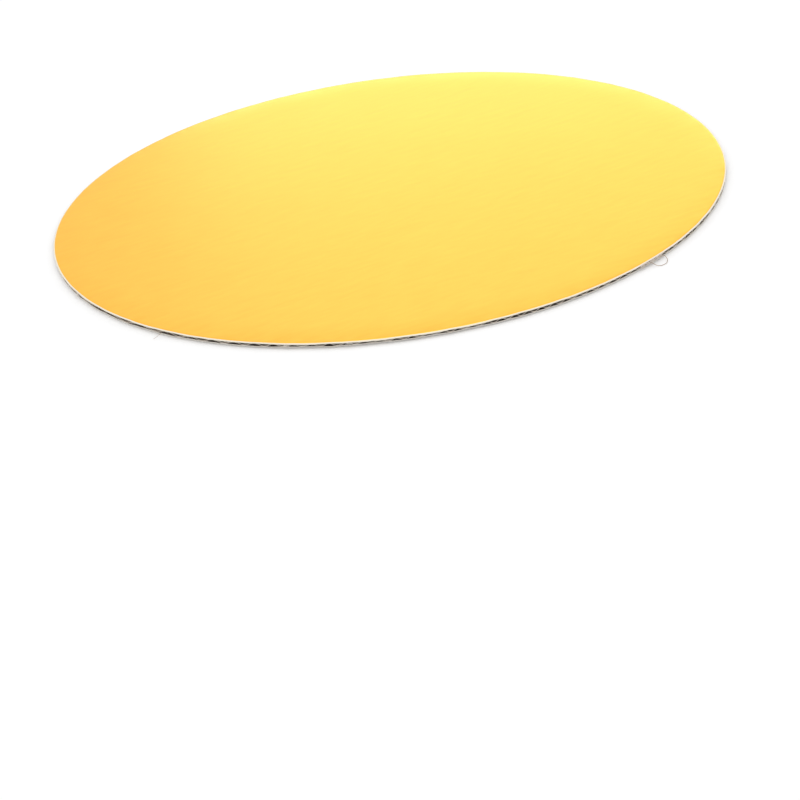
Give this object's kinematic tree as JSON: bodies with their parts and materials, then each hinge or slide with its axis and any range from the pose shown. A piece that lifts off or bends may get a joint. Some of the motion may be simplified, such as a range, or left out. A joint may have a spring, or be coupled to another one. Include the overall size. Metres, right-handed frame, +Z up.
{
  "type": "cake board",
  "caption": "Round corrugated cake board with a gold foil face, a fluted core open at the cut rim and a paper back.",
  "frame": {"origin": "centre of the underside, on the surface the board lies on", "axes": "+Z up through the foil face, +Y along the flutes, +X across the flutes"},
  "size_m": [0.305, 0.305, 0.003],
  "materials": {
    "back_paper": "matt white-grey liner paper",
    "fluting_paper": "matt greyish fluting paper, torn along the cut",
    "white_paper": "matt white liner paper, fibrous at the cut edge",
    "gold_foil": "satin metallised gold film with fine machine-direction streaks"
  },
  "bodies": {
    "root": {"bottom_liner": "back_paper", "fluted_medium": "fluting_paper", "top_liner": "white_paper", "gold_foil_face": "gold_foil"}
  },
  "joints": []
}
